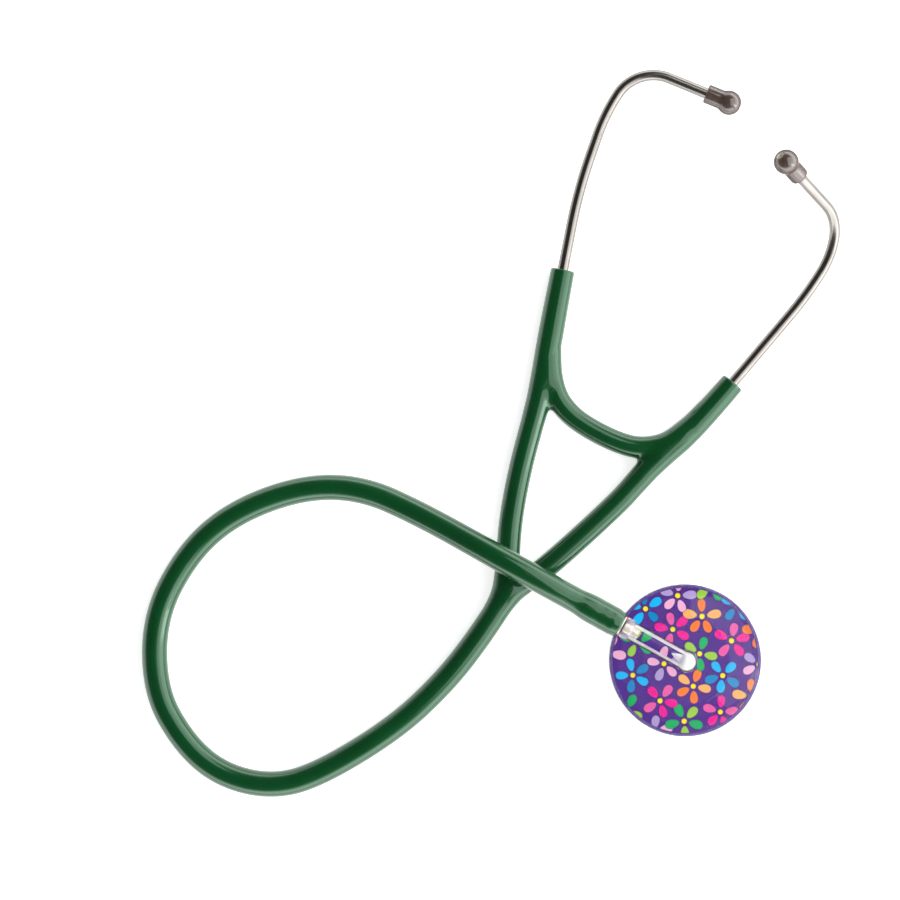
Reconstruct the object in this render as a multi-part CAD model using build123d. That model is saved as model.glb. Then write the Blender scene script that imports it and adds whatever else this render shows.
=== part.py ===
from build123d import *
import math
import os

# Single-head stethoscope, lying flat with the head's diaphragm down.
# Row frame, in mm: origin at the centre of the diaphragm's contact face,
# +Z up, +X and +Y in the plane that the object lies on.

# ---- driving dimensions -------------------------------------------------

LAY_Z = 5.2             # height of every tube axis that lies on the surface
FIT = 0.05              # radial running clearance

TUBE_R = 5.15           # single tube from the head to the yoke
BRANCH_R = 4.8          # the two tubes from the yoke to the arms
BRIDGE_R = 4.45         # moulded bridge between the arms
TUBE_BORE_R = 2.3
WEB_H = 7.0             # moulded webs in the crotches

SLEEVE_LOW_R = 5.15     # sleeve at the bridge
SLEEVE_TOP_R = 4.8      # sleeve at its open end
SLEEVE_UPPER = 24.0     # straight upper stretch of the sleeve

EAR_R = 2.2             # metal ear tube
EAR_BORE_R = 1.75
EAR_INSERT = 21.0       # length of ear tube inside the sleeve

TIP_R = 4.9             # soft ear tip ball
TIP_COLLAR_R = 3.8
TIP_COLLAR_BACK = 9.8   # ball centre to the collar's open end
TIP_TOP = math.sqrt(TIP_R ** 2 - 1.5 ** 2)
TIP_NECK = math.sqrt(TIP_R ** 2 - TIP_COLLAR_R ** 2)
FERRULE_R = 2.6
INSERT_R = 3.1

SPRING_T = 0.6          # leaf spring strip
SPRING_W = 4.6
EYE_T = 0.5             # sheet of the spring's end clips
EYE_R = 3.4

HEAD_R = 30.4           # acrylic head
HEAD_WALL_R = 28.9      # inside of the retaining rim
DIAPHRAGM_R = 25.8
STEM_Z = 11.8           # height of the stem's axis
STEM_DEG = 151.0        # the stem's direction in the plane
RIDGE_R = 3.7
BALL_END_R = 4.2
COLLAR_R = 4.45
STEM_FACE = 28.5        # head centre to the collar's face
TUBE_END = 29.8         # head centre to the end of the tube

# ---- routes, in mm ------------------------------------------------------

YOKE = (-71.2, 26.3, LAY_Z)
LEFT_BRANCH_FOOT = (-70.9, 38.0, LAY_Z)
RIGHT_BRANCH_FOOT = (-61.9, 32.6, LAY_Z)

# The single tube, from the yoke round its loop and over the two branches
# to the head's stem. The hump has one point each side of the crossing.
TUBE_ROUTE = [
    (-75.5, 19.6, 5.2),
    (-82.5, 8.8, 5.2),
    (-96.0, -8.5, 5.2),
    (-116.0, -27.3, 5.2),
    (-148.5, -46.8, 5.2),
    (-167.0, -50.3, 5.2),
    (-186.0, -45.0, 5.2),
    (-200.0, -32.5, 5.2),
    (-211.4, -12.1, 5.2),
    (-211.6, 17.8, 5.2),
    (-198.1, 43.2, 5.2),
    (-180.0, 59.0, 5.2),
    (-153.0, 69.1, 5.2),
    (-128.9, 68.9, 5.2),
    (-105.4, 58.4, 9.6),
    (-76.8, 42.6, 18.9),
    (-57.5, 31.9, 18.9),
    (-40.1, 22.2, STEM_Z),
]

LEFT_BRANCH_ROUTE = [
    LEFT_BRANCH_FOOT,
    (-69.9, 55.0, LAY_Z),
    (-66.0, 76.0, LAY_Z),
    (-59.8, 98.8, LAY_Z),
]
RIGHT_BRANCH_ROUTE = [
    RIGHT_BRANCH_FOOT,
    (-54.5, 37.6, LAY_Z),
    (-27.5, 62.2, LAY_Z),
    (-20.0, 71.0, LAY_Z),
]
BRIDGE_ROUTE = [
    (-49.5, 102.3, LAY_Z),
    (-45.6, 97.2, LAY_Z),
    (-36.3, 91.3, LAY_Z),
    (-25.8, 86.4, LAY_Z),
    (-18.5, 85.2, LAY_Z),
]

# One row for each arm: the sleeve's heading, mouth and root, the last runs
# of the branch and the bridge that enter it, the web's outline, the bend of
# the spring clip's tang, the ear tube's turn about the sleeve, and its
# corners, bend radii and tip, as distances along the sleeve and across it
# from the mouth. The two ear tubes are bent a little differently.
ARMS = {
    "left": {
        "heading": 79.0,
        "side": -1,
        "mouth": (-48.8, 155.7, LAY_Z),
        "root": (-57.2, 108.0, LAY_Z),
        "branch": LEFT_BRANCH_ROUTE[-2:],
        "bridge": BRIDGE_ROUTE[1::-1],
        "bridge_root": (-55.6, 110.3, LAY_Z),
        "web": [(-59.0, 103.0), (-56.0, 119.0), (-50.9, 117.5), (-48.6, 108.6),
                (-46.6, 105.1), (-52.6, 100.5), (-54.4, 101.8)],
        "tang_knee": (-54.0, 108.15, LAY_Z),
        "twist": 0.0,
        "ear_corners": [(32.0, 0.0), (64.0, 4.6), (85.8, 13.3)],
        "ear_radii": [200.0, 75.0, 17.0],
        "ear_tip": (78.0, 52.3),
    },
    "right": {
        "heading": 49.8,
        "side": 1,
        "mouth": (19.0, 110.8, LAY_Z),
        "root": (-13.3, 78.3, LAY_Z),
        "branch": RIGHT_BRANCH_ROUTE[-2:],
        "bridge": BRIDGE_ROUTE[-2:],
        "bridge_root": (-8.8, 83.6, LAY_Z),
        "web": [(-19.0, 81.6), (-17.9, 88.6), (-8.0, 90.2), (-1.6, 94.0),
                (1.5, 91.5), (-13.0, 77.2), (-16.4, 79.0)],
        "tang_knee": (-11.6, 84.0, LAY_Z),
        "twist": 38.0,
        "ear_corners": [(45.0, 0.0), (62.0, 3.1), (75.9, 12.9)],
        "ear_radii": [110.0, 30.0, 19.0],
        "ear_tip": (76.8, 52.3),
    },
}


# ---- helpers ------------------------------------------------------------

def rod(start, end, r_start, r_end=None):
    """A straight cylinder or cone from one point to another."""
    a, b = Vector(start), Vector(end)
    plane = Plane(origin=a, z_dir=b - a)
    if r_end is None or r_end == r_start:
        return Solid.make_cylinder(r_start, (b - a).length, plane)
    return Solid.make_cone(r_start, r_end, (b - a).length, plane)


def ball(centre, radius):
    return Pos(*centre) * Sphere(radius)


def corner_radii(points):
    """The arc at each inner point of a route: as large as its two runs allow."""
    radii = []
    for a, b, c in zip(points, points[1:], points[2:]):
        run_in = Vector(b) - Vector(a)
        run_out = Vector(c) - Vector(b)
        half_turn = math.radians(run_in.get_angle(run_out)) / 2
        radii.append(0.45 * min(run_in.length, run_out.length) / math.tan(half_turn))
    return radii


def sweep_along(points, radii, section):
    """A flat section swept along straight runs and tangent arcs."""
    path = FilletPolyline(*points, radius=radii)
    plane = Plane(origin=path @ 0, x_dir=(0, 0, 1), z_dir=path % 0)
    return sweep(plane * section, path=path), path.length


def tube_along(points, outer_r, bore_r):
    section = Circle(outer_r) - Circle(bore_r)
    return sweep_along(points, corner_radii(points), section)


def trim(shape, end, outward, reach=7.0):
    """Cut a stub square where the next tube starts."""
    end, outward = Vector(end), Vector(outward).normalized()
    return shape - rod(end, end + outward * 6, reach)


def stub(start, end, r_start, r_end=None):
    """A rod that runs 1 mm past its end, for trim to cut back."""
    a, b = Vector(start), Vector(end)
    return rod(a, b + (b - a).normalized(), r_start, r_end)


def outline(points, height):
    """A closed outline in the plane, extruded evenly about the tubes' axis."""
    face = make_face(Polyline(*points, close=True))
    return Pos(0, 0, LAY_Z - height / 2) * extrude(face, height)


def turned(points, plane):
    """A solid of revolution from (radius, height) points, set on a plane."""
    face = make_face(Polyline(*[(r, 0, h) for r, h in points], close=True))
    return plane.location * revolve(face, Axis.Z)


def save(name, shape):
    export_step(shape, f"parts/{name}.step")
    print(f"{name}: {shape.volume:.1f} mm3")


os.makedirs("parts", exist_ok=True)

# ---- head: clear acrylic body, print, chamber ring, diaphragm, rim -------

stem_dir = Vector(math.cos(math.radians(STEM_DEG)), math.sin(math.radians(STEM_DEG)), 0)


def on_stem(distance):
    """A point on the stem's axis, by its distance from the head's centre."""
    return tuple(stem_dir * distance + Vector(0, 0, STEM_Z))


dome = turned([(0, 3.6), (HEAD_WALL_R, 3.6), (HEAD_WALL_R, 4.6), (HEAD_R, 4.6),
               (HEAD_R, 5.2), (29.7, 5.8), (26.5, 6.9), (22.5, 8.3), (18.2, 9.4),
               (9.0, 9.75), (0, 9.85)], Plane.XY)
ridge = rod(on_stem(0), on_stem(26.0), RIDGE_R)
ridge_end = ball(on_stem(0), BALL_END_R)
collar = rod(on_stem(25.2), on_stem(STEM_FACE), COLLAR_R)
foot = rod((0, 0, 9.0), (0, 0, STEM_Z), BALL_END_R)
stem_bore = rod(on_stem(STEM_FACE + 1), on_stem(7.8), 1.9 + FIT)
drill_cone = rod(on_stem(7.9), on_stem(2.0), 0.9, 2.4)
sound_hole = rod((0, 0, 3.0), (0, 0, STEM_Z), 2.9)
hole_end = ball(on_stem(0), 2.9)
head_body = dome + foot + ridge + ridge_end + collar
head_body = head_body - stem_bore - drill_cone - sound_hole - hole_end
save("chestpiece_body", head_body)

print_disc = Pos(0, 0, 3.3) * extrude(Circle(HEAD_WALL_R) - Circle(2.0), 0.3)
save("print_disc", print_disc)

chamber_ring = Pos(0, 0, 1.3) * extrude(Circle(HEAD_WALL_R) - Circle(25.9), 2.0)
save("chamber_ring", chamber_ring)

diaphragm = turned([(0, 0), (DIAPHRAGM_R, 0), (DIAPHRAGM_R, 0.7), (HEAD_WALL_R, 0.7),
                    (HEAD_WALL_R, 1.3), (0, 1.3)], Plane.XY)
save("diaphragm", diaphragm)

retaining_rim = turned([(25.9, 0.1), (30.0, 0.1), (HEAD_R, 0.5), (HEAD_R, 4.6),
                        (HEAD_WALL_R, 4.6), (HEAD_WALL_R, 0.7), (25.9, 0.7)], Plane.XY)
save("retaining_rim", retaining_rim)

# ---- stem: barbed end in the tube, spigot in the head's collar ------------

STEM_BARBS = (32.5, 37.3, 42.1)
stem = rod(on_stem(TUBE_END), on_stem(45.0), TUBE_BORE_R)
for barb in STEM_BARBS:
    stem += rod(on_stem(barb - 1.2), on_stem(barb + 2.4), 3.2, TUBE_BORE_R)
stem += rod(on_stem(STEM_FACE + 0.75), on_stem(TUBE_END), 3.9)
stem += rod(on_stem(22.0), on_stem(TUBE_END), 1.9)
stem -= rod(on_stem(21.0), on_stem(46.0), 1.2)
save("stem", stem)

stem_seal = rod(on_stem(STEM_FACE + 0.08), on_stem(STEM_FACE + 0.75), 3.0)
stem_seal -= rod(on_stem(STEM_FACE), on_stem(STEM_FACE + 1), 1.9)
save("stem_seal", stem_seal)

# ---- single tube ----------------------------------------------------------

route = TUBE_ROUTE + [on_stem(TUBE_END)]
main_tube, tube_length = tube_along(route, TUBE_R, TUBE_BORE_R)
print("tube corner radii:", [round(r, 1) for r in corner_radii(route)])
print(f"tube length {tube_length:.1f} mm")
print(f"tube volume {main_tube.volume:.0f} mm3, section times length "
      f"{math.pi * (TUBE_R ** 2 - TUBE_BORE_R ** 2) * tube_length:.0f} mm3")
save("main_tube", main_tube)

# ---- yoke and the two branches ---------------------------------------------

yoke = ball(YOKE, TUBE_R)
yoke += stub(YOKE, TUBE_ROUTE[0], TUBE_R)
yoke += stub(YOKE, LEFT_BRANCH_FOOT, TUBE_R, BRANCH_R)
yoke += stub(YOKE, RIGHT_BRANCH_FOOT, TUBE_R, BRANCH_R)
yoke += outline([(-70.5, 27.5), (-70.3, 37.2), (-66.2, 36.8), (-62.9, 34.3)], WEB_H)
for tube_points in (TUBE_ROUTE, LEFT_BRANCH_ROUTE, RIGHT_BRANCH_ROUTE):
    yoke = trim(yoke, tube_points[0], Vector(tube_points[1]) - Vector(tube_points[0]))
    yoke -= stub(YOKE, tube_points[0], TUBE_BORE_R)
save("yoke", yoke)

left_branch, _ = tube_along(LEFT_BRANCH_ROUTE, BRANCH_R, TUBE_BORE_R)
save("left_branch", left_branch)
right_branch, _ = tube_along(RIGHT_BRANCH_ROUTE, BRANCH_R, TUBE_BORE_R)
save("right_branch", right_branch)

# ---- bridge with the leaf spring inside it -----------------------------------

bridge_radii = corner_radii(BRIDGE_ROUTE)
leaf_spring, _ = sweep_along(BRIDGE_ROUTE, bridge_radii, Rectangle(SPRING_W, SPRING_T))
bridge, _ = sweep_along(BRIDGE_ROUTE, bridge_radii, Circle(BRIDGE_R))
bridge -= leaf_spring
save("leaf_spring", leaf_spring)
save("bridge", bridge)

# ---- arms, ear tubes and ear tips -----------------------------------------

for name, arm in ARMS.items():
    heading = math.radians(arm["heading"])
    along = Vector(math.cos(heading), math.sin(heading), 0)
    inward = Vector(-math.sin(heading), math.cos(heading), 0) * arm["side"]
    mouth = Vector(arm["mouth"])
    knee = mouth - along * SLEEVE_UPPER

    # Spring clip: an eye round the ear tube's inner end and a flat tang
    # that runs down the sleeve's inner side to the leaf spring.
    eye_low = mouth - along * (EAR_INSERT + 0.2)
    tang_route = [arm["bridge"][1], arm["tang_knee"], eye_low + inward * 3.1 + along * 2]
    tang, _ = sweep_along(tang_route, [5.5], Rectangle(SPRING_W - 0.6, EYE_T))
    eye_top = mouth - along * (EAR_INSERT - 4.3)
    eye = rod(eye_low, eye_top, EYE_R) + tang
    eye -= rod(eye_low - along * 6, eye_top + along, EAR_R + FIT)
    save(f"{name}_spring_clip", eye)

    sleeve = rod(arm["root"], knee, SLEEVE_LOW_R) + ball(knee, SLEEVE_LOW_R)
    sleeve += rod(knee, mouth, SLEEVE_LOW_R, SLEEVE_TOP_R)
    sleeve += ball(arm["root"], SLEEVE_LOW_R)
    sleeve += stub(arm["root"], arm["branch"][1], SLEEVE_LOW_R, BRANCH_R)
    sleeve += stub(arm["bridge_root"], arm["bridge"][1], BRIDGE_R)
    sleeve += outline(arm["web"], WEB_H)
    for before, end in (arm["branch"], arm["bridge"]):
        sleeve = trim(sleeve, end, Vector(before) - Vector(end))
    sleeve -= rod(knee - along * 1.5, mouth + along, EAR_R + FIT)
    sleeve -= rod(arm["root"], knee, TUBE_BORE_R)
    sleeve -= stub(arm["root"], arm["branch"][1], TUBE_BORE_R)
    sleeve -= ball(arm["root"], TUBE_BORE_R)
    sleeve -= eye
    save(f"{name}_sleeve", sleeve)

    # Ear tube: straight out of the sleeve, two slight bends and then a sharp
    # one to the ear. The tube is turned about its own straight part.
    twist = math.radians(arm["twist"])
    across = inward * math.cos(twist) + Vector(0, 0, math.sin(twist))

    def ear_point(u, v):
        return mouth + along * u + across * v

    ear_corners = [ear_point(u, v) for u, v in arm["ear_corners"]]
    tip = ear_point(*arm["ear_tip"])
    tip_axis = (tip - ear_corners[-1]).normalized()
    ear_end = tip - tip_axis * 3.4
    ear_route = [ear_point(-EAR_INSERT, 0), *ear_corners, ear_end]
    ear_path = FilletPolyline(*ear_route, radius=arm["ear_radii"])
    ear_plane = Plane(origin=ear_route[0], x_dir=across, z_dir=along)
    ear_tube = sweep(ear_plane * (Circle(EAR_R) - Circle(EAR_BORE_R)), path=ear_path)
    save(f"{name}_ear_tube", ear_tube)

    tip_plane = Plane(origin=tip, x_dir=along.cross(tip_axis), z_dir=tip_axis)
    ferrule = turned([(EAR_R, -9.0), (2.45, -9.0), (FERRULE_R, -8.7), (FERRULE_R, -3.8),
                      (2.45, -3.4), (EAR_R, -3.4)], tip_plane)
    save(f"{name}_ferrule", ferrule)

    insert = turned([(FERRULE_R + FIT, -8.6), (INSERT_R, -8.6), (INSERT_R, -3.0),
                     (1.5, -3.0), (1.5, -3.3), (FERRULE_R + FIT, -3.3)], tip_plane)
    save(f"{name}_tip_insert", insert)

    tip_profile = [
        ThreePointArc((1.5, 0, TIP_TOP), (TIP_R, 0, 0), (TIP_COLLAR_R, 0, -TIP_NECK)),
        Polyline((TIP_COLLAR_R, 0, -TIP_NECK), (TIP_COLLAR_R, 0, -TIP_COLLAR_BACK),
                 (FERRULE_R + FIT, 0, -TIP_COLLAR_BACK), (FERRULE_R + FIT, 0, -8.6),
                 (INSERT_R, 0, -8.6), (INSERT_R, 0, -3.0), (1.5, 0, -3.0),
                 (1.5, 0, TIP_TOP)),
    ]
    tip_shell = tip_plane.location * revolve(make_face(Curve() + tip_profile), Axis.Z)
    save(f"{name}_ear_tip", tip_shell)
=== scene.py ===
import math

import bpy
import numpy as np
from mathutils import Matrix, Vector


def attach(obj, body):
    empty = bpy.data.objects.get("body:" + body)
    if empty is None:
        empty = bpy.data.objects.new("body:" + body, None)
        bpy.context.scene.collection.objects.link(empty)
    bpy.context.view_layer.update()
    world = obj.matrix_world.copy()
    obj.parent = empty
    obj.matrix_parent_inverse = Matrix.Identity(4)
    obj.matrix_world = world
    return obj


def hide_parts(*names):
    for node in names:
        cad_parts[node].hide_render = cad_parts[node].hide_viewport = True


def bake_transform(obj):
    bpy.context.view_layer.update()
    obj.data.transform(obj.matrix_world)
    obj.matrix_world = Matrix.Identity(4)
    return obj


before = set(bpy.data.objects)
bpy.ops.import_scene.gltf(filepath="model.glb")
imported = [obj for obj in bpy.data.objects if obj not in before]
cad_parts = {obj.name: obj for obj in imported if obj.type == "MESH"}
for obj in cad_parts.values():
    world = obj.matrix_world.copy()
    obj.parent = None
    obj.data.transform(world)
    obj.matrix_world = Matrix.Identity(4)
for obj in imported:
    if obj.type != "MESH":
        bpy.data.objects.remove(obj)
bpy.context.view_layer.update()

MM = 0.001

# All lengths below are in millimetres in the row frame, and are turned into
# metres when a mesh is made.

LAY_Z = 5.2              # height of every tube axis that lies on the surface
STEM_Z = 11.8            # height of the stem's axis
STEM_DEG = 151.0         # the stem's direction in the plane
STEM_DIR = np.array([math.cos(math.radians(STEM_DEG)), math.sin(math.radians(STEM_DEG)), 0.0])
TUBE_R = 5.15
BORE_R = 2.3
PIVOT = (-34.0, 90.5, LAY_Z)


def metres(p):
    return tuple(float(c) * MM for c in p)


# ---- camera -------------------------------------------------------------

VIEW_HEIGHT = 1.4      # metres above the middle of the instrument
VIEW_CENTRE = (-0.0938, 0.0839)
camera_data = bpy.data.cameras.new("camera")
camera_data.lens = 140.0
camera_data.sensor_width = 36.0
camera = bpy.data.objects.new("camera", camera_data)
camera.location = (*VIEW_CENTRE, VIEW_HEIGHT)
bpy.context.scene.collection.objects.link(camera)
bpy.context.scene.camera = camera

# ---- mesh helpers ---------------------------------------------------------


def new_mesh(name, vertices, faces, normals=None, smooth=True):
    """A mesh object from points in mm; normals, if given, are per vertex."""
    mesh = bpy.data.meshes.new(name)
    points = np.asarray(vertices, float) * MM
    mesh.from_pydata(points.tolist(), [], [list(f) for f in faces])
    mesh.validate()
    if smooth:
        mesh.shade_smooth()
    if normals is not None:
        mesh.normals_split_custom_set_from_vertices([tuple(n) for n in normals])
    obj = bpy.data.objects.new(name, mesh)
    bpy.context.scene.collection.objects.link(obj)
    return obj


def route_curve(points, per_span=16):
    """The smooth line of a route whose corners are the given points."""
    p = np.asarray(points, float)
    line = [p[0]]
    for i in range(1, len(p) - 1):
        a = p[0] if i == 1 else (p[i - 1] + p[i]) / 2
        c = p[-1] if i == len(p) - 2 else (p[i] + p[i + 1]) / 2
        for k in range(1, per_span + 1):
            t = k / per_span
            line.append((1 - t) ** 2 * a + 2 * t * (1 - t) * p[i] + t * t * c)
    return np.array(line)


def lengths(line):
    steps = np.linalg.norm(np.diff(line, axis=0), axis=1)
    return np.concatenate([[0.0], np.cumsum(steps)])


def even(line, step):
    """The same line with its points the same distance apart."""
    s = lengths(line)
    at = np.linspace(0, s[-1], max(2, int(round(s[-1] / step)) + 1))
    return np.stack([np.interp(at, s, line[:, k]) for k in range(3)], axis=1)


def tube_rings(line, radius, sides=40, up=(0.0, 0.0, 1.0)):
    """Rings of points round a line. radius is a number or one per point."""
    line = np.asarray(line, float)
    radius = np.broadcast_to(np.asarray(radius, float), (len(line),))
    tangent = np.gradient(line, axis=0)
    tangent /= np.linalg.norm(tangent, axis=1)[:, None]
    side = np.cross(tangent[0], up)
    side /= np.linalg.norm(side)
    angles = np.linspace(0, 2 * math.pi, sides, endpoint=False)
    rings = []
    for p, t, r in zip(line, tangent, radius):
        side = side - t * side.dot(t)
        side /= np.linalg.norm(side)
        other = np.cross(t, side)
        rings.append(p + r * (np.cos(angles)[:, None] * side + np.sin(angles)[:, None] * other))
    return rings


def skin(name, rings, close_ends=False):
    """A mesh over rings of equal counts."""
    sides = len(rings[0])
    vertices = np.concatenate(rings)
    faces = []
    for i in range(len(rings) - 1):
        for k in range(sides):
            n = (k + 1) % sides
            faces.append((i * sides + k, i * sides + n, (i + 1) * sides + n, (i + 1) * sides + k))
    if close_ends:
        faces.append(tuple(range(sides))[::-1])
        faces.append(tuple(range((len(rings) - 1) * sides, len(rings) * sides)))
    return new_mesh(name, vertices, faces)


LATHE_SIDES = 64


def lathe(name, profile, origin, axis, sides=LATHE_SIDES):
    """A solid of revolution from (radius, height) points about an axis."""
    axis = np.asarray(axis, float) / np.linalg.norm(axis)
    side = np.cross(axis, (0.3, 0.2, 0.9))
    side /= np.linalg.norm(side)
    other = np.cross(axis, side)
    angles = np.linspace(0, 2 * math.pi, sides, endpoint=False)
    ring = np.cos(angles)[:, None] * side + np.sin(angles)[:, None] * other
    rings = [np.asarray(origin) + axis * h + ring * r for r, h in profile]
    return skin(name, rings)


def smoothstep(x, low, high):
    t = np.clip((np.asarray(x, float) - low) / (high - low), 0, 1)
    return t * t * (3 - 2 * t)


# ---- single tube (the free cord) ------------------------------------------

TUBE_ROUTE = [
    (-75.5, 19.6, 5.2),
    (-82.5, 8.8, 5.2),
    (-96.0, -8.5, 5.2),
    (-116.0, -27.3, 5.2),
    (-148.5, -46.8, 5.2),
    (-167.0, -50.3, 5.2),
    (-186.0, -45.0, 5.2),
    (-200.0, -32.5, 5.2),
    (-211.4, -12.1, 5.2),
    (-211.6, 17.8, 5.2),
    (-198.1, 43.2, 5.2),
    (-180.0, 59.0, 5.2),
    (-153.0, 69.1, 5.2),
    (-128.9, 68.9, 5.2),
    (-105.4, 58.4, 8.6),
    (-76.8, 42.6, 17.2),
    (-57.5, 31.9, 17.4),
    (-40.1, 22.2, STEM_Z),
    (-26.06, 14.45, STEM_Z),
]

route_data = bpy.data.curves.new("tube_route", "CURVE")
route_data.dimensions = "3D"
route_data.resolution_u = 24
spline = route_data.splines.new("NURBS")
spline.points.add(len(TUBE_ROUTE) - 1)
for point, place in zip(spline.points, TUBE_ROUTE):
    point.co = (*metres(place), 1.0)
spline.order_u = 3
spline.use_endpoint_u = True
route_object = bpy.data.objects.new("tube_route", route_data)
bpy.context.scene.collection.objects.link(route_object)
bpy.context.view_layer.update()
route_mesh = bpy.data.meshes.new_from_object(route_object)
tube_line = np.array([v.co[:] for v in route_mesh.vertices]) / MM
bpy.data.objects.remove(route_object)
bpy.data.meshes.remove(route_mesh)
if np.linalg.norm(tube_line[0] - np.array(TUBE_ROUTE[0])) > 1:
    tube_line = tube_line[::-1]
tube_line = even(tube_line, 0.6)
tube_length = lengths(tube_line)[-1]

# The tube swells over the stem's barbs at its far end.
from_end = tube_length - lengths(tube_line)
swell = 0.18 + 0.46 * smoothstep(from_end, 0.4, 4.0)
swell += 0.025 * np.cos(2 * math.pi * (from_end - 7.5) / 4.8) * smoothstep(from_end, 0.8, 2.6)
swell *= 1 - smoothstep(from_end, 13.5, 21.0)
tube_radius = TUBE_R + swell
tube_radius[-1] -= 0.35
tube_radius[-2] -= 0.08
outer = tube_rings(tube_line, tube_radius, 48)
end = tube_line[-1]
inward_step = tube_line[-2] - tube_line[-1]
inward_step /= np.linalg.norm(inward_step)
lip = [(end, TUBE_R - 0.55), (end + inward_step * 0.02, 4.0), (end + inward_step * 0.02, 2.75),
       (end + inward_step * 0.25, BORE_R), (end + inward_step * 1.5, BORE_R),
       (end + inward_step * 4.0, BORE_R)]
inner = []
for centre, r in lip:
    shift = (outer[-1] - end) / np.linalg.norm(outer[-1][0] - end)
    inner.append(centre + shift * r)
main_tube = skin("main_tube_skin", outer + inner)
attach(main_tube, "tubing")
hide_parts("main_tube")

# ---- distance fields and their surfaces -------------------------------------


class Field:
    """A box of sample points for distances to a surface, in mm."""

    def __init__(self, low, high, step):
        self.low = np.asarray(low, float)
        self.step = step
        self.count = np.ceil((np.asarray(high, float) - self.low) / step).astype(int) + 1
        self.axes = [self.low[k] + step * np.arange(self.count[k]) for k in range(3)]

    def grid(self):
        return np.meshgrid(*self.axes, indexing="ij", sparse=True)

    def empty(self):
        return np.full(tuple(self.count), 30.0)

    def tube(self, line, radii, pad=4.5):
        """Distance to a tube along a line whose radius changes along it."""
        values = self.empty()
        for a, b, ra, rb in zip(line, line[1:], radii, radii[1:]):
            reach = max(ra, rb) + pad
            first = np.floor((np.minimum(a, b) - reach - self.low) / self.step).astype(int)
            last = np.ceil((np.maximum(a, b) + reach - self.low) / self.step).astype(int) + 1
            first = np.clip(first, 0, self.count)
            last = np.clip(last, 0, self.count)
            if (last <= first).any():
                continue
            block = tuple(slice(f, t) for f, t in zip(first, last))
            x, y, z = np.meshgrid(*[ax[s] for ax, s in zip(self.axes, block)],
                                  indexing="ij", sparse=True)
            run = b - a
            t = ((x - a[0]) * run[0] + (y - a[1]) * run[1] + (z - a[2]) * run[2]) / run.dot(run)
            t = np.clip(t, 0, 1)
            d = np.sqrt((x - a[0] - t * run[0]) ** 2 + (y - a[1] - t * run[1]) ** 2
                        + (z - a[2] - t * run[2]) ** 2) - (ra + t * (rb - ra))
            values[block] = np.minimum(values[block], d)
        return values

    def at(self, values, points):
        """Values at points, by trilinear interpolation."""
        q = (np.asarray(points) - self.low) / self.step
        i = np.clip(np.floor(q).astype(int), 0, self.count - 2)
        f = q - i
        total = 0
        for dx in (0, 1):
            for dy in (0, 1):
                for dz in (0, 1):
                    weight = (np.where(dx, f[:, 0], 1 - f[:, 0])
                              * np.where(dy, f[:, 1], 1 - f[:, 1])
                              * np.where(dz, f[:, 2], 1 - f[:, 2]))
                    total = total + weight * values[i[:, 0] + dx, i[:, 1] + dy, i[:, 2] + dz]
        return total

    def slope(self, values, points):
        h = self.step * 0.5
        parts = []
        for k in range(3):
            shift = np.zeros(3)
            shift[k] = h
            parts.append(self.at(values, points + shift) - self.at(values, points - shift))
        return np.stack(parts, axis=1) / (2 * h)

    def surface(self, values):
        """Vertices, faces and normals of the zero surface (surface nets)."""
        cells = self.count - 1
        index_parts, place_parts = [], []
        quads = []
        strides = np.array([cells[1] * cells[2], cells[2], 1])
        for k in range(3):
            low = [slice(None)] * 3
            high = [slice(None)] * 3
            low[k] = slice(0, -1)
            high[k] = slice(1, None)
            a, b = values[tuple(low)], values[tuple(high)]
            hit = np.argwhere((a < 0) != (b < 0))
            others = [m for m in range(3) if m != k]
            ok = ((hit[:, others] > 0) & (hit[:, others] < cells[others])).all(axis=1)
            hit = hit[ok]
            va = a[tuple(hit.T)]
            vb = b[tuple(hit.T)]
            place = hit.astype(float)
            place[:, k] += va / (va - vb)
            corners = []
            for da, db in ((0, 0), (1, 0), (1, 1), (0, 1)):
                cell = hit.copy()
                cell[:, others[0]] -= da
                cell[:, others[1]] -= db
                number = cell @ strides
                corners.append(number)
                index_parts.append(number)
                place_parts.append(place)
            quad = np.stack(corners, axis=1)
            flip = (va < 0) == (k == 1)
            quad[flip] = quad[flip][:, ::-1]
            quads.append(quad)
        numbers = np.concatenate(index_parts)
        places = np.concatenate(place_parts)
        used, inverse = np.unique(numbers, return_inverse=True)
        count = np.bincount(inverse)
        vertices = np.stack([np.bincount(inverse, places[:, k]) / count for k in range(3)], axis=1)
        vertices = self.low + vertices * self.step
        faces = np.searchsorted(used, np.concatenate(quads))
        for _ in range(3):
            g = self.slope(values, vertices)
            size = np.maximum((g * g).sum(axis=1), 0.05)
            move = g * (self.at(values, vertices) / size)[:, None]
            vertices = vertices - np.clip(move, -0.5 * self.step, 0.5 * self.step)
        g = self.slope(values, vertices)
        normals = g / np.maximum(np.linalg.norm(g, axis=1), 1e-6)[:, None]
        return vertices, faces, normals


def smooth_min(a, b, k):
    h = np.maximum(k - np.abs(a - b), 0) / np.maximum(k, 1e-6)
    return np.minimum(a, b) - h * h * k / 4


def smooth_max(a, b, k):
    return -smooth_min(-a, -b, k)


def part_of(name, vertices, faces, normals, chosen):
    """A mesh of the chosen faces, with the whole surface's normals."""
    kept = faces[chosen]
    used, inverse = np.unique(kept, return_inverse=True)
    return new_mesh(name, vertices[used], inverse.reshape(kept.shape), normals[used])


# ---- moulded headset: yoke, branches, bridge and sleeves --------------------

LEFT_MOUTH = np.array([-48.8, 155.7, LAY_Z])
RIGHT_MOUTH = np.array([19.0, 110.8, LAY_Z])
LEFT_HEADING = 79.0
RIGHT_HEADING = 49.8


def direction(degrees):
    return np.array([math.cos(math.radians(degrees)), math.sin(math.radians(degrees)), 0.0])


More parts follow.
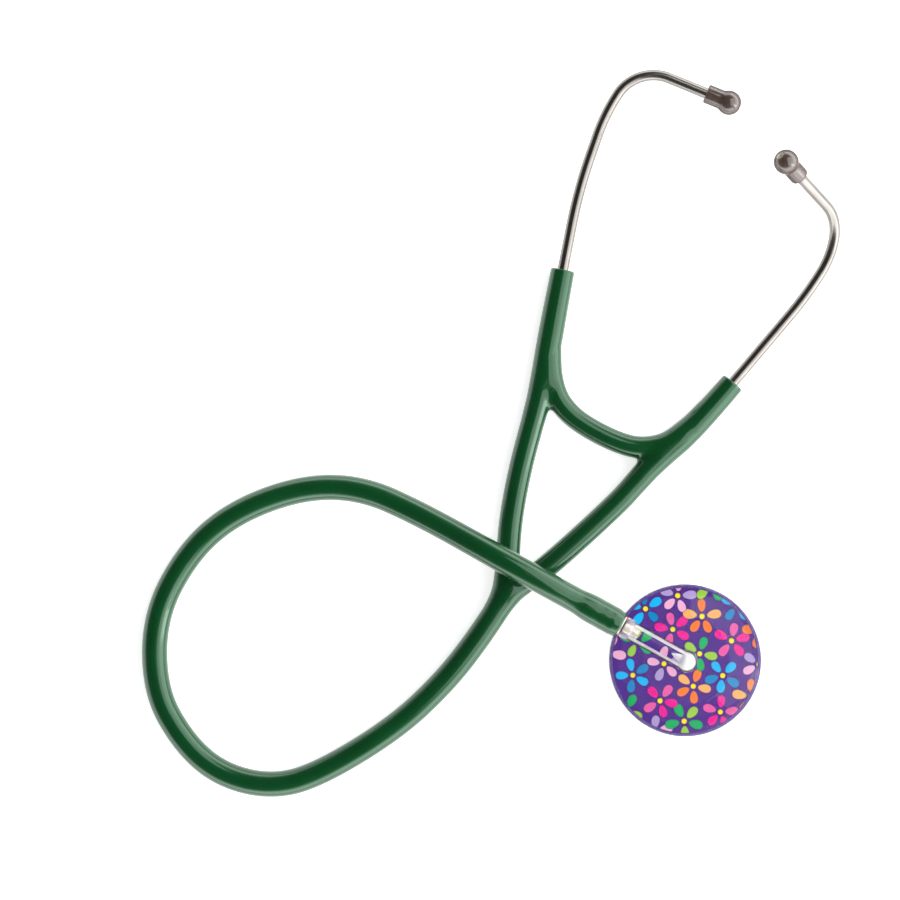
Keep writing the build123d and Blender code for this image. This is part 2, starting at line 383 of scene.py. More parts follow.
left_along = direction(LEFT_HEADING)
right_along = direction(RIGHT_HEADING)

LEFT_LINE = [(-77.1, 17.1), (-72.3, 24.8), (-70.9, 37.0), (-69.9, 55.0), (-66.0, 76.0),
             (-60.2, 97.5), (-57.3, 108.5), (-53.5, 131.5)]
RIGHT_LINE = [(-77.1, 17.1), (-71.4, 26.2), (-62.5, 32.4), (-54.5, 37.6), (-27.5, 62.2),
              (-19.5, 71.2), (-12.0, 79.6), (3.4, 92.5)]
BRIDGE_LINE = [(-53.6, 131.0), (-54.3, 118.5), (-51.9, 105.5), (-45.6, 97.4), (-36.3, 91.3),
               (-25.8, 86.4), (-17.6, 84.5), (-7.8, 86.0), (0.6, 91.6), (8.6, 99.8)]


def flat(points):
    return [(x, y, LAY_Z) for x, y in points]


def radii_along(line, marks):
    """Radius at each point of a line, from (share of length, radius) marks."""
    s = lengths(line)
    return np.interp(s / s[-1], [m for m, _ in marks], [r for _, r in marks])


headset = Field((-83.0, 11.0, -0.9), (27.0, 161.0, 11.3), 0.44)
left_line = even(route_curve(flat(LEFT_LINE) + [tuple(LEFT_MOUTH + left_along * 4)]), 1.0)
right_line = even(route_curve(flat(RIGHT_LINE) + [tuple(RIGHT_MOUTH + right_along * 4)]), 1.0)
bridge_line = even(route_curve(flat(BRIDGE_LINE)), 1.0)
left_radii = radii_along(left_line, [(0, 5.15), (0.1, 5.1), (0.17, 4.8), (0.55, 4.8),
                                     (0.66, 5.15), (0.8, 5.15), (1, 4.75)])
right_radii = radii_along(right_line, [(0, 5.15), (0.08, 5.1), (0.15, 4.8), (0.55, 4.8),
                                       (0.66, 5.15), (0.8, 5.15), (1, 4.75)])
bridge_radii = radii_along(bridge_line, [(0, 4.6), (0.3, 4.55), (0.4, 4.4), (0.6, 4.4),
                                         (0.7, 4.5), (1, 4.6)])
left_field = headset.tube(left_line, left_radii)
right_field = headset.tube(right_line, right_radii)
bridge_field = headset.tube(bridge_line, bridge_radii)
gx, gy, gz = headset.grid()


def beyond(point, heading, x, y):
    """How far (x, y) lies past a point along a heading."""
    return (x - point[0]) * math.cos(math.radians(heading)) \
        + (y - point[1]) * math.sin(math.radians(heading))


yoke_blend = 4.0 * smoothstep(beyond((-75.5, 19.6), 58, gx, gy), 3.0, 13.0)
headset_field = smooth_min(left_field, right_field, yoke_blend)
bridge_blend = 2.6 * (1 - smoothstep(beyond((-54.6, 112.0), 82, gx, gy), 0.0, 13.0)) \
    * (1 - smoothstep(beyond((-3.5, 88.5), 46, gx, gy), 0.0, 12.0))
headset_field = smooth_min(headset_field, bridge_field, bridge_blend)

for mouth, along, heading in ((LEFT_MOUTH, left_along, LEFT_HEADING),
                              (RIGHT_MOUTH, right_along, RIGHT_HEADING)):
    past = beyond(mouth, heading, gx, gy)
    across = beyond(mouth, heading + 90, gx, gy)
    near = np.broadcast_to((past > -12) & (past < 8) & (np.abs(across) < 8), headset_field.shape)
    cut = smooth_max(headset_field, past + 0 * gz, 0.7)
    bore = np.sqrt(across ** 2 + (gz - LAY_Z) ** 2) - 2.24
    bore = np.maximum(bore, -(past + 7.0))
    cut = smooth_max(cut, -bore, 0.35)
    headset_field = np.where(near, cut, headset_field)
    headset_field = np.where(np.broadcast_to((past >= 8) & (np.abs(across) < 30),
                                             headset_field.shape), 5.0, headset_field)

vertices, faces, normals = headset.surface(headset_field)
vertices[:, 2] = np.maximum(vertices[:, 2], 0.03)   # it rests on the table
centres = vertices[faces].mean(axis=1)
cx, cy = centres[:, 0], centres[:, 1]
to_left = headset.at(left_field, centres)
to_right = headset.at(right_field, centres)
to_bridge = headset.at(bridge_field, centres)
on_left = to_left < to_right
on_bridge = (to_bridge < np.minimum(to_left, to_right)) \
    & (beyond((-49.5, 102.3), -52.6, cx, cy) > 0) & (beyond((-18.5, 85.2), -9.6, cx, cy) < 0)
near_pivot = beyond(PIVOT, -27.7, cx, cy)
before_left = beyond((-70.9, 38.0), 86, cx, cy) < 0
before_right = beyond((-61.9, 32.6), 34, cx, cy) < 0
left_low = beyond((-59.8, 98.8), 75, cx, cy) < 0
right_low = beyond((-20.0, 71.0), 49, cx, cy) < 0
inside = beyond((-76.6, 17.9), 57, cx, cy) > 0
yoke_faces = ~on_bridge & inside & np.where(on_left, before_left, before_right)
left_branch_faces = ~on_bridge & on_left & ~before_left & left_low
right_branch_faces = ~on_bridge & ~on_left & ~before_right & right_low
left_sleeve_faces = ~on_bridge & on_left & ~left_low
right_sleeve_faces = ~on_bridge & ~on_left & ~right_low

yoke = part_of("yoke_skin", vertices, faces, normals, yoke_faces)
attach(yoke, "tubing")
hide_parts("yoke")
left_branch = part_of("left_branch_skin", vertices, faces, normals, left_branch_faces)
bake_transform(left_branch)
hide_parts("left_branch")
right_branch = part_of("right_branch_skin", vertices, faces, normals, right_branch_faces)
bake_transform(right_branch)
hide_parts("right_branch")
left_sleeve = part_of("left_sleeve_skin", vertices, faces, normals, left_sleeve_faces)
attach(left_sleeve, "left_arm")
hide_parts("left_sleeve")
right_sleeve = part_of("right_sleeve_skin", vertices, faces, normals, right_sleeve_faces)
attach(right_sleeve, "right_arm")
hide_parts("right_sleeve")
left_bridge = part_of("left_bridge_skin", vertices, faces, normals, on_bridge & (near_pivot < 0))
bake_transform(left_bridge)
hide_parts("bridge")
right_bridge = part_of("right_bridge_skin", vertices, faces, normals, on_bridge & (near_pivot >= 0))
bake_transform(right_bridge)
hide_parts("bridge")
tubing_pieces = [main_tube, yoke, left_branch, right_branch, left_sleeve, right_sleeve,
                 left_bridge, right_bridge]

# Leaf spring inside the bridge: one strip, in two halves split at the pivot.
spring_line = even(route_curve(flat([(-49.5, 102.3), (-45.6, 97.2), (-36.3, 91.3),
                                     (-25.8, 86.4), (-18.5, 85.2)])), 0.8)
spring_turn = np.gradient(spring_line, axis=0)
spring_turn /= np.linalg.norm(spring_turn, axis=1)[:, None]
spring_side = np.stack([-spring_turn[:, 1], spring_turn[:, 0], 0 * spring_turn[:, 0]], axis=1)
spring_rings = []
for point, side in zip(spring_line, spring_side):
    rise = np.array([0.0, 0.0, 2.3])
    spring_rings.append(np.array([point + side * 0.3 - rise, point + side * 0.3 + rise,
                                  point - side * 0.3 + rise, point - side * 0.3 - rise]))
middle = int(np.argmin(np.linalg.norm(spring_line - np.array(PIVOT), axis=1)))
left_spring = skin("left_leaf_spring", spring_rings[:middle + 1], close_ends=True)
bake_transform(left_spring)
right_spring = skin("right_leaf_spring", spring_rings[middle:], close_ends=True)
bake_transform(right_spring)
for piece in (left_spring, right_spring):
    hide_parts("leaf_spring")

# ---- ear tubes and ear tips --------------------------------------------------


def bent_line(points, radii, step=0.5):
    """Straight runs with round bends: a tube bent on a former."""
    p = [np.asarray(q, float) for q in points]
    line = [p[0]]
    for a, b, c, r in zip(p, p[1:], p[2:], radii):
        u = (a - b) / np.linalg.norm(a - b)
        v = (c - b) / np.linalg.norm(c - b)
        half = math.acos(np.clip(u.dot(v), -1, 1)) / 2
        centre = b + (u + v) / np.linalg.norm(u + v) * r / math.sin(half)
        start = b + u * r / math.tan(half)
        turn = math.pi - 2 * half
        normal = np.cross(start - centre, c - centre)
        axis = Vector(normal / np.linalg.norm(normal))
        for k in range(25):
            spin = Matrix.Rotation(turn * k / 24, 3, axis)
            line.append(centre + np.array(spin @ Vector(start - centre)))
    line.append(p[-1])
    return even(np.array(line), step)


EAR_R = 2.2
EAR_BORE_R = 1.75
TIP_BALL = 4.9
BORE_BANDS = 3      # the first bands of the tip's profile are its sound hole
tip_pieces, ear_pieces = [], []
# Corners and tip of each ear tube, along the sleeve and across it.
LEFT_BENDS = ([(32.0, 0.0), (64.0, 4.6), (85.8, 13.3)], [200.0, 75.0, 17.0], (78.0, 52.3))
RIGHT_BENDS = ([(45.0, 0.0), (62.0, 3.1), (75.9, 12.9)], [110.0, 30.0, 19.0], (76.8, 52.3))
for name, mouth, along, side, twist, bends in (
        ("left", LEFT_MOUTH, left_along, -1, 0.0, LEFT_BENDS),
        ("right", RIGHT_MOUTH, right_along, 1, 38.0, RIGHT_BENDS)):
    inward = np.array([-along[1], along[0], 0.0]) * side
    across = inward * math.cos(math.radians(twist))
    across = across + np.array([0, 0, math.sin(math.radians(twist))])

    def ear_point(u, v):
        return mouth + along * u + across * v

    corners = [ear_point(u, v) for u, v in bends[0]]
    tip = ear_point(*bends[2])
    tip_axis = (tip - corners[-1]) / np.linalg.norm(tip - corners[-1])
    ear_line = bent_line([ear_point(-21.0, 0), *corners, tip - tip_axis * 3.4], bends[1])
    ear_outer = tube_rings(ear_line, EAR_R, 48, up=np.cross(along, across))
    ear_inner = [p + (ring - p) * (EAR_BORE_R / EAR_R) for p, ring in zip(ear_line, ear_outer)]
    kept = [0, *range(2, len(ear_inner) - 1, 3), len(ear_inner) - 1]
    ear_inner = [ear_inner[k] for k in reversed(kept)]
    ear_tube = skin(f"{name}_ear_tube_skin", ear_outer + ear_inner + ear_outer[:1])
    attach(ear_tube, f"{name}_eartube")
    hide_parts(f"{name}_ear_tube")
    ear_pieces.append(ear_tube)

    # Soft tip: a ball on a collar, with the sound hole through it.
    profile = [(1.5, -3.2), (1.45, 0.0), (1.4, 3.6), (1.55, 4.35)]
    for k in range(26):
        a = math.radians(70 - k * (70 + 36) / 25)
        profile.append((TIP_BALL * math.cos(a), TIP_BALL * math.sin(a)))
    profile += [(3.86, -3.25), (3.8, -3.6), (3.8, -5.0), (3.8, -9.0), (3.74, -9.5), (3.5, -9.75),
                (3.2, -9.8), (2.9, -9.75), (2.7, -9.5), (2.68, -8.7), (3.12, -8.6),
                (3.12, -3.1), (1.5, -3.0)]
    soft_tip = lathe(f"{name}_ear_tip_skin", profile, tip, tip_axis)
    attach(soft_tip, f"{name}_tip")
    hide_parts(f"{name}_ear_tip")
    tip_pieces.append(soft_tip)

# ---- head: clear body ----------------------------------------------------------

# Built along its own axes and then turned: u runs along the stem, v across.


def turned_to_stem(points):
    return np.asarray(points) @ np.array(stem_turn).T


stem_turn = Matrix.Rotation(math.radians(STEM_DEG), 3, "Z")
WINDOW = 2.04      # half width of the clear window over the bore
DOME_R = 30.35
DOME_FLOOR = 3.72  # underside of the clear body
RIDGE_R = 3.72
BALL_R = 4.2       # ball end over the sound hole, and the post under it
COLLAR_R = 4.42
COLLAR_FACE = 28.5
SPIGOT_R = 1.95    # the stem's inner end, in the collar's bore
head = Field((-31.28, -31.28, 2.7), (31.6, 31.6, 16.9), 0.34)
hu, hv, hz = head.grid()
hr = np.sqrt(hu ** 2 + hv ** 2)
plateau = 9.85 - 0.0003 * hr ** 2
cone = 9.55 - 0.29 * (hr - 18.4)
edge = 7.1 - 0.46 * (hr - 26.6)
top = smooth_min(smooth_min(plateau, cone, 0.12), edge, 0.2)
dome = smooth_max((hz - top) * 0.96, hr - DOME_R, 1.1)
dome = smooth_max(dome, DOME_FLOOR - hz, 0.3)
axis_gap = np.sqrt(hv ** 2 + (hz - STEM_Z) ** 2)


def along_stem(radius, low, high, k=0.25):
    return smooth_max(axis_gap - radius, np.maximum(low - hu, hu - high), k)


ridge = along_stem(RIDGE_R, 0.0, 26.0)
ridge_end = np.sqrt(hu ** 2 + hv ** 2 + (hz - STEM_Z) ** 2) - BALL_R
post = smooth_max(hr - BALL_R, np.maximum(hz - STEM_Z, 8.0 - hz), 0.2)
collar = along_stem(COLLAR_R, 25.2, COLLAR_FACE, 0.8)
head_field = smooth_min(dome, smooth_min(ridge, post, 0.3), 0.7)
head_field = smooth_min(head_field, ridge_end, 0.3)
head_field = smooth_min(head_field, collar, 0.5)
stem_bore = np.maximum(axis_gap - SPIGOT_R, np.maximum(22.0 - hu, hu - 31.0))
head_field = smooth_max(head_field, -stem_bore, 0.1)
vertices, faces, normals = head.surface(head_field)
centres = vertices[faces].mean(axis=1)
above_dome = centres[:, 2] > 10.0
# These faces take the ridge wall material, with its painted refraction and painted shade: the
# ridge's side walls beside the window, and the ring round the ball end.
wall_faces = above_dome & (np.abs(centres[:, 1]) > WINDOW) & (centres[:, 0] > 2.6) \
    & (centres[:, 0] < 25.2)
wall_faces |= above_dome & (centres[:, 0] <= 2.6) & (np.hypot(centres[:, 0], centres[:, 1]) > 3.0)
collar_faces = (centres[:, 0] >= 25.0) & (centres[:, 2] > 8.0)
head_body = new_mesh("head_body", turned_to_stem(vertices), faces, turned_to_stem(normals))
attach(head_body, "head")
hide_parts("chestpiece_body")

# The drilled end of the bore: a ball where it turns down, and a point's cone.
drilled_profile = [(0.02, 6.9), (0.28, 6.5), (0.66, 5.6), (1.0, 4.6), (1.32, 3.3), (1.5, 2.55)]
for k in range(1, 24):
    a = math.radians(59.0 - k * 149.0 / 23)
    drilled_profile.append((max(0.02, 2.95 * math.cos(a)), 2.95 * math.sin(a)))
drilled_end = lathe("drilled_end", drilled_profile, (0.0, 0.0, STEM_Z), STEM_DIR, 48)
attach(drilled_end, "head")

# Clear rim round the head, with softened edges.
rim_profile = [(25.95, 0.12), (29.6, 0.12), (30.05, 0.2), (30.3, 0.42), (30.38, 0.75),
               (30.38, 4.1), (30.3, 4.42), (30.05, 4.56), (29.3, 4.56), (28.98, 4.45),
               (28.95, 4.2), (28.95, 0.72), (25.95, 0.68), (25.95, 0.12)]
rim = lathe("clear_rim", rim_profile, (0.0, 0.0, 0.0), (0.0, 0.0, 1.0), 180)
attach(rim, "head")
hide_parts("retaining_rim")

# ---- head: flower print under the clear body -----------------------------------

PRINT_Z = 3.64
PRINT_R = 28.75
GREENS = ("flower_green", "flower_lime")
ORANGES = ("flower_orange", "flower_peach")
PINKS = ("flower_magenta", "flower_pink")
BLUSHES = ("flower_blush", "flower_lilac")
BLUES = ("flower_cyan", "flower_blue")
# A hexagonal scatter of flowers, with its rows turned and shifted.
families = [GREENS, PINKS, ORANGES, BLUES, BLUSHES]
rng = np.random.default_rng(23)
flowers = []
pitch = 13.7
for row in range(-3, 4):
    for column in range(-3, 4):
        x = (column + 0.5 * (row % 2)) * pitch
        y = row * pitch * 0.88
        x, y = 0.94 * x - 0.342 * y + 5.0, 0.342 * x + 0.94 * y + 3.0
        spot = np.array([x, y]) + rng.uniform(-0.8, 0.8, 2)
        if np.hypot(*spot) > PRINT_R + 5.0:
            continue
        family = families[(column + 2 * row) % 5]
        flowers.append((spot, family, rng.uniform(0, 2 * math.pi), rng.uniform(0.95, 1.06)))


def petal_outline(centre, heading, size, grow=0.0):
    """A drop-shaped petal, narrow at the flower's centre."""
    shape = []
    for k in range(32):
        a = 2 * math.pi * k / 32
        along_petal = 4.5 + 2.6 * math.cos(a)
        width = (1.6 + 0.36 * math.cos(a)) * math.sin(a)
        along_petal = along_petal * size + grow * math.cos(a)
        width = width * size + grow * math.sin(a)
        shape.append((centre[0] + along_petal * math.cos(heading) - width * math.sin(heading),
                      centre[1] + along_petal * math.sin(heading) + width * math.cos(heading)))
    return shape


def disc_outline(centre, radius, count=24):
    return [(centre[0] + radius * math.cos(2 * math.pi * k / count),
             centre[1] + radius * math.sin(2 * math.pi * k / count)) for k in range(count)]


def held_inside(shape):
    """The outline kept inside the print's edge, or None if it is all outside."""
    shape = np.array(shape)
    r = np.hypot(shape[:, 0], shape[:, 1])
    if (r > PRINT_R).all():
        return None
    return shape * np.minimum(1, PRINT_R / r)[:, None]


print_shapes = []
for number, (spot, family, turn, size) in enumerate(flowers):
    level = 0.004 * number
    for k in range(5):
        heading = turn + 2 * math.pi * k / 5 + 0.14 * math.sin(5 * k + turn)
        petal_size = size * (1 + 0.06 * math.sin(3 * k + 2 * turn))
        tone = family[k in (1, 3)]
        print_shapes.append((petal_outline(spot, heading, petal_size, 0.16), "print_line", level))
        print_shapes.append((petal_outline(spot, heading, petal_size), tone, level + 0.001))
    print_shapes.append((disc_outline(spot, 1.2 * size), "print_line", level + 0.002))
    print_shapes.append((disc_outline(spot, 1.02 * size), "flower_yellow", level + 0.003))
flower_vertices, flower_faces, flower_tones = [], [], []
for shape, tone, lift in print_shapes:
    shape = held_inside(shape)
    if shape is None:
        continue
    base = len(flower_vertices)
    flower_vertices += [(x, y, PRINT_Z + lift) for x, y in shape]
    flower_faces.append(tuple(range(base, base + len(shape))))
    flower_tones.append(tone)
flower_print = new_mesh("flower_print", flower_vertices, flower_faces, smooth=False)
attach(flower_print, "head")

# ---- materials ------------------------------------------------------------------


def linear(r, g, b):
    """A display colour, 0 to 255, as scene-linear."""
    return tuple((c / 255 / 12.92 if c <= 10 else ((c / 255 + 0.055) / 1.055) ** 2.4)
                 for c in (r, g, b)) + (1.0,)


class Surface:
    """A material with a Principled shader and helpers that add texture nodes."""

    def __init__(self, name):
        self.material = bpy.data.materials.new(name)
        self.material.use_nodes = True
        self.nodes = self.material.node_tree.nodes
        self.links = self.material.node_tree.links
        self.shader = self.nodes["Principled BSDF"]
        self.coords = self.nodes.new("ShaderNodeTexCoord").outputs["Object"]

    def set(self, **values):
        for key, value in values.items():
            self.shader.inputs[key.replace("_", " ")].default_value = value
        return self

    def noise(self, scale, detail=2.0, rough=0.5, stretch=None):
        source = self.coords
        if stretch is not None:
            mapping = self.nodes.new("ShaderNodeMapping")
            mapping.inputs["Scale"].default_value = stretch
            self.links.new(source, mapping.inputs["Vector"])
            source = mapping.outputs["Vector"]
        node = self.nodes.new("ShaderNodeTexNoise")
        node.inputs["Scale"].default_value = scale
        node.inputs["Detail"].default_value = detail
        node.inputs["Roughness"].default_value = rough
        self.links.new(source, node.inputs["Vector"])
        return node.outputs["Fac"]

    def ramp(self, factor, stops):
        node = self.nodes.new("ShaderNodeValToRGB")
        elements = node.color_ramp.elements
        while len(elements) < len(stops):
            elements.new(0.5)
        for element, (position, colour) in zip(elements, stops):
            element.position = position
            element.color = colour
        self.links.new(factor, node.inputs["Fac"])
        return node.outputs["Color"]

    def grey(self, factor, low, high, start=0.35, stop=0.65):
        return self.ramp(factor, [(start, (low, low, low, 1)), (stop, (high, high, high, 1))])

    def colour(self, output):
        self.links.new(output, self.shader.inputs["Base Color"])
        return self

    def roughness(self, output):
        self.links.new(output, self.shader.inputs["Roughness"])
        return self

    def facing(self, start, stop):
        """1 where a glassy surface faces the eye, 0 at its outline."""
        node = self.nodes.new("ShaderNodeLayerWeight")
        node.inputs["Blend"].default_value = 0.5
        return self.grey(node.outputs["Facing"], 1.0, 0.0, start, stop)

    def coat(self, output):
        self.links.new(output, self.shader.inputs["Coat Weight"])
        return self

    def mixed(self, factor, first, second):
        node = self.nodes.new("ShaderNodeMixRGB")
        node.inputs["Color1"].default_value = first
        self.links.new(factor, node.inputs["Fac"])
        self.links.new(second, node.inputs["Color2"])
        return node.outputs["Color"]

    def bump(self, factor, strength, distance):
        node = self.nodes.new("ShaderNodeBump")
        node.inputs["Strength"].default_value = strength
        node.inputs["Distance"].default_value = distance
        self.links.new(factor, node.inputs["Height"])
        self.links.new(node.outputs["Normal"], self.shader.inputs["Normal"])
        return self

    def tones(self, scale, detail, dark, light):
        """A base colour that drifts between two close display colours."""
        self.colour(self.ramp(self.noise(scale, detail),
                              [(0.3, linear(*dark)), (0.7, linear(*light))]))

    def gloss(self, scale, detail, low, high):
        """A roughness that drifts between two values."""
        self.roughness(self.grey(self.noise(scale, detail), low, high))

    def grain(self, scale, detail, strength, distance):
        """A fine relief from noise."""
        self.bump(self.noise(scale, detail), strength, distance)

    def let_light_through(self, tint=(1, 1, 1, 1)):
        """Light reaches what lies under a clear part."""
        path = self.nodes.new("ShaderNodeLightPath")
        clear = self.nodes.new("ShaderNodeBsdfTransparent")
        clear.inputs["Color"].default_value = tint
        either = self.nodes.new("ShaderNodeMath")
        either.operation = "MAXIMUM"
        self.links.new(path.outputs["Is Shadow Ray"], either.inputs[0])
        self.links.new(path.outputs["Is Diffuse Ray"], either.inputs[1])
        mix = self.nodes.new("ShaderNodeMixShader")
        self.links.new(either.outputs[0], mix.inputs[0])
        self.links.new(self.shader.outputs[0], mix.inputs[1])
        self.links.new(clear.outputs[0], mix.inputs[2])
        self.links.new(mix.outputs[0], self.nodes["Material Output"].inputs["Surface"])
        return self


pvc = Surface("pvc_green")
pvc.set(IOR=1.53, Specular_IOR_Level=0.5, Specular_Tint=(0.6, 1.0, 0.75, 1), Coat_Weight=0.6,
        Coat_Roughness=0.03, Coat_IOR=1.5,
        Sheen_Weight=0.22, Sheen_Roughness=0.28, Sheen_Tint=linear(150, 205, 150))
pvc.tones(70, 3, (3, 62, 26), (5, 68, 30))
pvc.gloss(160, 3, 0.13, 0.18)
pvc.grain(1100, 2, 0.03, 0.0002)

chrome = Surface("polished_tube")
chrome.set(Metallic=1.0)
chrome.tones(90, 3, (136, 132, 127), (148, 144, 139))
chrome.gloss(500, 3, 0.18, 0.22)
chrome.grain(900, 2, 0.006, 0.0001)

steel = Surface("spring_strip")
steel.set(Metallic=1.0)
steel.tones(120, 3, (150, 152, 156), (185, 186, 188))
steel.gloss(400, 3, 0.25, 0.4)
steel.bump(steel.noise(700, 3, stretch=(1, 1, 14)), 0.1, 0.0001)

stem_metal = Surface("turned_stem")
stem_metal.set(Metallic=0.35)
stem_metal.tones(200, 3, (224, 215, 202), (240, 234, 225))
stem_metal.gloss(600, 2, 0.22, 0.34)
stem_metal.grain(1800, 2, 0.02, 0.0001)

seal = Surface("seal_rubber")
seal.tones(500, 3, (38, 37, 36), (52, 50, 49))
seal.gloss(900, 2, 0.5, 0.65)
seal.grain(2500, 2, 0.15, 0.0001)

soft = Surface("smoky_elastomer")
soft.set(IOR=1.42, Specular_IOR_Level=0.05, Transmission_Weight=0.03,
         Coat_Roughness=0.02, Coat_IOR=1.8)
soft.tones(260, 3, (70, 55, 48), (88, 73, 66))
soft.gloss(700, 2, 0.08, 0.14)
soft.grain(1500, 2, 0.04, 0.0001)
# The ball's rim looks through the full depth of the smoky skin, so it is dark and not glossy.
soft.coat(soft.facing(0.38, 0.5))

core = Surface("tip_core")
core.tones(400, 3, (92, 80, 72), (112, 98, 90))
core.gloss(800, 2, 0.4, 0.5)

tip_bore = Surface("tip_bore")
tip_bore.set(Specular_IOR_Level=0.2)
tip_bore.tones(500, 2, (236, 230, 214), (246, 242, 230))
tip_bore.gloss(900, 2, 0.4, 0.5)

acrylic = Surface("clear_acrylic")
acrylic.set(IOR=1.14, Transmission_Weight=1.0, Coat_Weight=0.5, Coat_IOR=1.49, Coat_Roughness=0.02)
acrylic.colour(acrylic.ramp(acrylic.noise(60, 2),
                            [(0.3, (0.965, 0.972, 0.98, 1)), (0.7, (0.985, 0.988, 0.99, 1))]))
acrylic.gloss(220, 2, 0.0, 0.006)
acrylic.grain(90, 1, 0.004, 0.0002)
acrylic.let_light_through((0.96, 0.965, 0.975, 1))

# The ridge's clear side walls: their grey-white base colour is painted refraction, and the dark
# colour at their outline is painted shade.
wall = Surface("ridge_wall")
wall.set(IOR=1.2, Transmission_Weight=0.35, Coat_IOR=1.5, Coat_Roughness=0.04)
wall_painted_refraction = wall.ramp(wall.noise(240, 2),
                      [(0.3, linear(186, 182, 182)), (0.7, linear(220, 216, 214))])
wall_facing = wall.facing(0.42, 0.6)
# Painted shade: dark brown where the wall turns away from the eye, grey-white painted refraction
# where it faces the eye.
wall.colour(wall.mixed(wall_facing, linear(70, 62, 56), wall_painted_refraction))
wall.coat(wall_facing)
wall.gloss(600, 2, 0.12, 0.22)
wall.grain(500, 2, 0.05, 0.0002)
wall.let_light_through((0.8, 0.8, 0.8, 1))

collar_clear = Surface("collar_acrylic")
collar_clear.set(IOR=1.2, Transmission_Weight=0.8, Coat_Weight=1.0, Coat_IOR=1.5,
                 Coat_Roughness=0.03)
collar_clear.tones(300, 2, (226, 222, 218), (244, 241, 238))
collar_clear.gloss(600, 2, 0.04, 0.1)
collar_clear.grain(500, 2, 0.01, 0.0002)
collar_clear.let_light_through((0.95, 0.95, 0.95, 1))

drilled = Surface("drilled_acrylic")
drilled.set(Coat_Weight=0.6, Coat_Roughness=0.05)
drilled.tones(900, 3, (238, 235, 244), (252, 250, 254))
drilled.gloss(1500, 2, 0.35, 0.5)
drilled.grain(2600, 2, 0.1, 0.0001)

rim_clear = Surface("rim_clear")
rim_clear.set(IOR=1.25, Transmission_Weight=0.6, Coat_Weight=0.5, Coat_Roughness=0.04)
rim_clear.tones(120, 2, (88, 62, 138), (104, 80, 152))
rim_clear.gloss(400, 2, 0.08, 0.14)
rim_clear.grain(900, 2, 0.05, 0.0001)
rim_clear.let_light_through((0.85, 0.86, 0.88, 1))

purple = Surface("print_ground")
purple.set(Specular_IOR_Level=0.05)
purple.tones(900, 3, (76, 36, 132), (84, 42, 142))
purple.gloss(1400, 2, 0.35, 0.45)
purple.grain(3000, 2, 0.05, 0.0001)

ring_plastic = Surface("chamber_plastic")
ring_plastic.tones(300, 3, (198, 198, 204), (212, 212, 216))
ring_plastic.gloss(900, 2, 0.35, 0.45)
ring_plastic.grain(1500, 2, 0.1, 0.0001)

sheet = Surface("diaphragm_sheet")
sheet.colour(sheet.ramp(sheet.noise(700, 4, 0.6, stretch=(1, 9, 1)),
                        [(0.3, linear(132, 134, 131)), (0.7, linear(148, 149, 147))]))
sheet.gloss(500, 3, 0.28, 0.4)
sheet.bump(sheet.noise(900, 4, 0.6, stretch=(9, 1, 1)), 0.12, 0.0001)

INKS = {
    "flower_green": (18, 170, 92), "flower_lime": (152, 200, 66),
    "flower_orange": (246, 120, 46), "flower_peach": (244, 174, 96),
    "flower_magenta": (234, 14, 144), "flower_pink": (230, 88, 160),
    "flower_blush": (238, 172, 206), "flower_lilac": (174, 152, 204),
    "flower_cyan": (22, 176, 238), "flower_blue": (14, 130, 190),
    "flower_yellow": (248, 222, 24), "print_line": (58, 30, 104),
}
ink_index = {}
for ink, shade in INKS.items():
    surface = Surface(ink)
    surface.set(Specular_IOR_Level=0.05)
    paler = tuple(min(255, c + 7) for c in shade)
    surface.tones(1100, 3, shade, paler)
    surface.gloss(1500, 2, 0.35, 0.45)
    ink_index[ink] = len(flower_print.data.materials)
    flower_print.data.materials.append(surface.material)
for polygon, tone in zip(flower_print.data.polygons, flower_tones):
    polygon.material_index = ink_index[tone]


def dress(obj, surface):
    obj.data.materials.clear()
    obj.data.materials.append(surface.material)


def dress_node(name, surface):
    for material_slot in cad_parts[name].material_slots:
        material_slot.material = surface.material


for piece in tubing_pieces:
    dress(piece, pvc)
for piece in ear_pieces:
    dress(piece, chrome)
for piece in tip_pieces:
    dress(piece, soft)
    piece.data.materials.append(tip_bore.material)
    for polygon in piece.data.polygons[:BORE_BANDS * LATHE_SIDES]:
        polygon.material_index = 1
for piece in (left_spring, right_spring):
    dress(piece, steel)
for surface in (acrylic, wall, collar_clear):
    head_body.data.materials.append(surface.material)
head_body.data.polygons.foreach_set("material_index", wall_faces + 2 * collar_faces)
dress(drilled_end, drilled)
dress(rim, rim_clear)
dress_node("print_disc", purple)
dress_node("chamber_ring", ring_plastic)
dress_node("diaphragm", sheet)
dress_node("stem", stem_metal)
dress_node("stem_seal", seal)
for side_name in ("left", "right"):
    dress_node(f"{side_name}_spring_clip", steel)
    dress_node(f"{side_name}_ferrule", chrome)
    dress_node(f"{side_name}_tip_insert", core)

# ---- floor and light ---------------------------------------------------------------

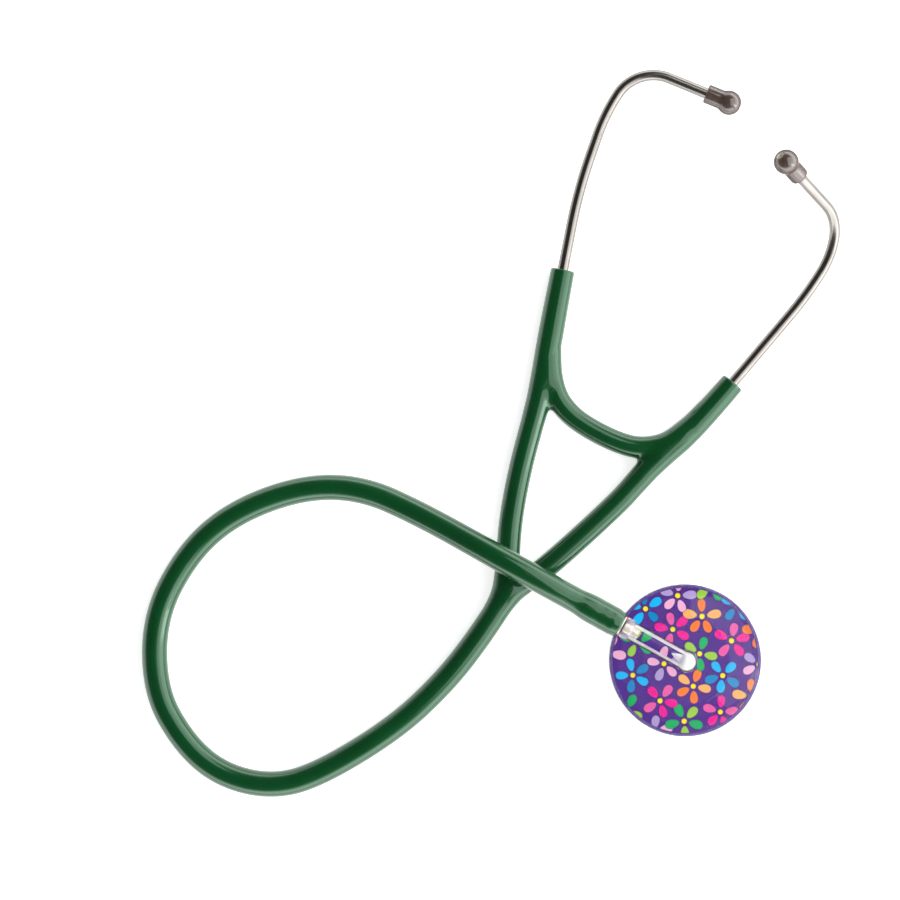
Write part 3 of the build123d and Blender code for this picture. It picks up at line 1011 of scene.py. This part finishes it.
floor_mesh = bpy.data.meshes.new("floor")
floor_mesh.from_pydata([(-3, -3, -0.0002), (3, -3, -0.0002), (3, 3, -0.0002), (-3, 3, -0.0002)],
                       [], [(0, 1, 2, 3)])
floor = bpy.data.objects.new("floor", floor_mesh)
bpy.context.scene.collection.objects.link(floor)
paper = Surface("pale_floor")
paper.colour(paper.grey(paper.noise(40, 3), 0.86, 0.88, 0.3, 0.7))
paper.set(Roughness=0.9, Specular_IOR_Level=0.1, Emission_Color=(1, 1, 1, 1),
          Emission_Strength=0.7)
floor.data.materials.append(paper.material)


def area_light(name, place, target, size, size_y, power, colour=(1, 1, 1)):
    data = bpy.data.lights.new(name, "AREA")
    data.shape = "RECTANGLE"
    data.size = size
    data.size_y = size_y
    data.energy = power
    data.color = colour
    light = bpy.data.objects.new(name, data)
    light.location = place
    aim = Vector(target) - Vector(place)
    light.rotation_euler = aim.to_track_quat("-Z", "Y").to_euler()
    bpy.context.scene.collection.objects.link(light)
    return light


middle_point = (-0.09, 0.08, 0.0)
area_light("key_right", (1.1, -0.35, 0.5), middle_point, 0.3, 0.7, 2.0)
area_light("panel_right", (0.53, 0.16, 0.93), middle_point, 1.5, 0.75, 6.5)
top_soft = area_light("top_soft", (-0.09, 0.08, 1.7), middle_point, 1.6, 1.6, 3.5)
top_soft.visible_glossy = False
top_soft.visible_camera = False
area_light("head_panel", (0.085, -0.076, 1.27), (0.0, 0.0, 0.0), 0.14, 0.14, 0.03)

world = bpy.data.worlds.new("studio")
bpy.context.scene.world = world
world.use_nodes = True
world_nodes = world.node_tree.nodes
world_links = world.node_tree.links
background = world_nodes["Background"]
sky_coords = world_nodes.new("ShaderNodeTexCoord")
# Dark overhead and bright near the ground, brighter towards the right.
tilt = world_nodes.new("ShaderNodeVectorMath")
tilt.operation = "DOT_PRODUCT"
tilt.inputs[1].default_value = (-0.34, 0.12, 1.0)
sky_ramp = world_nodes.new("ShaderNodeValToRGB")
world_links.new(sky_coords.outputs["Generated"], tilt.inputs[0])
world_links.new(tilt.outputs["Value"], sky_ramp.inputs["Fac"])
world_links.new(sky_ramp.outputs["Color"], background.inputs["Color"])
SKY = [(0.0, 1.0), (0.22, 0.95), (0.42, 0.3), (0.6, 0.05), (1.0, 0.02)]
stops = sky_ramp.color_ramp.elements
while len(stops) < len(SKY):
    stops.new(0.5)
for stop, (position, shade) in zip(stops, SKY):
    stop.position = position
    stop.color = (shade, shade, shade * 1.01, 1)
background.inputs["Strength"].default_value = 3.5
bpy.context.scene.view_settings.view_transform = "Standard"
